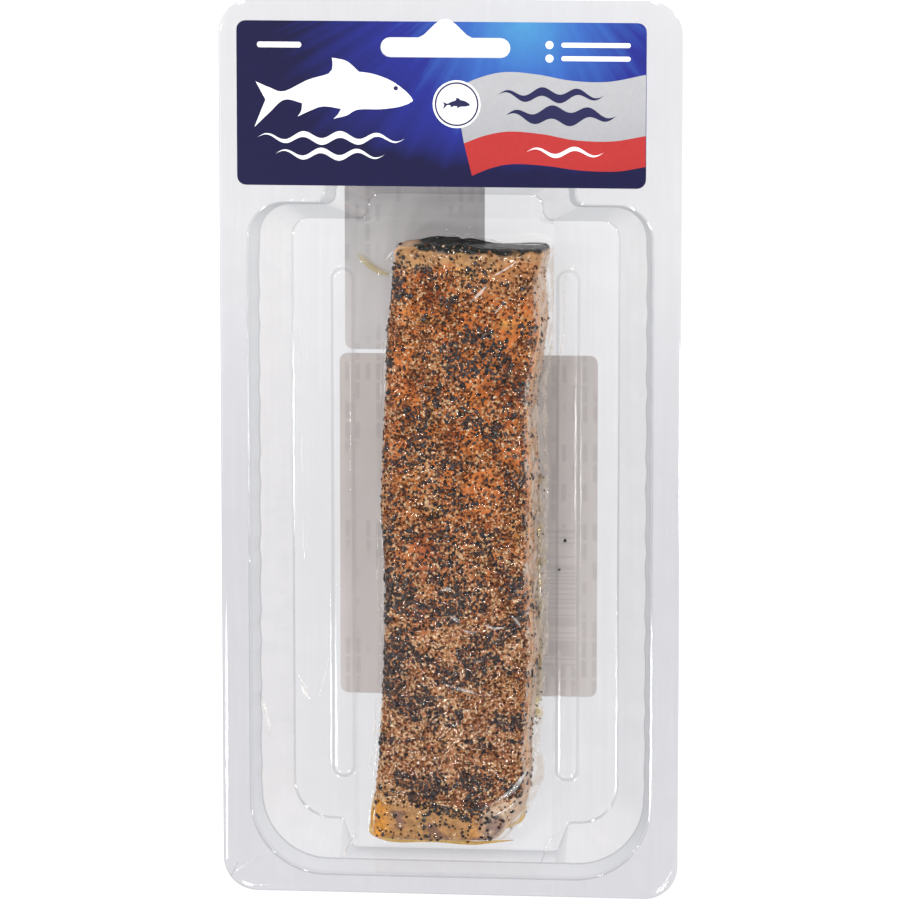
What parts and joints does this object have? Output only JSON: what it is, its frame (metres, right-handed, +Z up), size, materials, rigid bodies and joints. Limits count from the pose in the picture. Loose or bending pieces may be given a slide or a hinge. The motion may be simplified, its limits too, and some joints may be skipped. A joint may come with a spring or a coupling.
{
  "type": "packed hot smoked salmon fillet",
  "caption": "Peppered hot smoked salmon fillet sealed under clear film in a clear formed tray with a printed header label and a hanging slot.",
  "frame": {"origin": "under the middle of the pack's outline, at the level of the back labels that it rests on", "axes": "+Z up from the labels to the film, +Y along the pack towards the hanging slot, +X across the pack, to the right for a viewer who looks down on it with the hanging slot at the top"},
  "size_m": [0.1144, 0.2246, 0.0233],
  "materials": {
    "clear_tray": "clear glossy formed sheet",
    "peppered_salmon": "moist smoked flesh under cracked pepper",
    "clear_film": "clear glossy film",
    "printed_header": "satin print in blue, silver and red",
    "back_labels": "matt, seen from the back"
  },
  "bodies": {
    "root": {"tray": "clear_tray", "fillet": "peppered_salmon", "film": "clear_film", "header_label": "printed_header", "back_label_strip": "back_labels", "back_label_panel": "back_labels"}
  },
  "joints": []
}
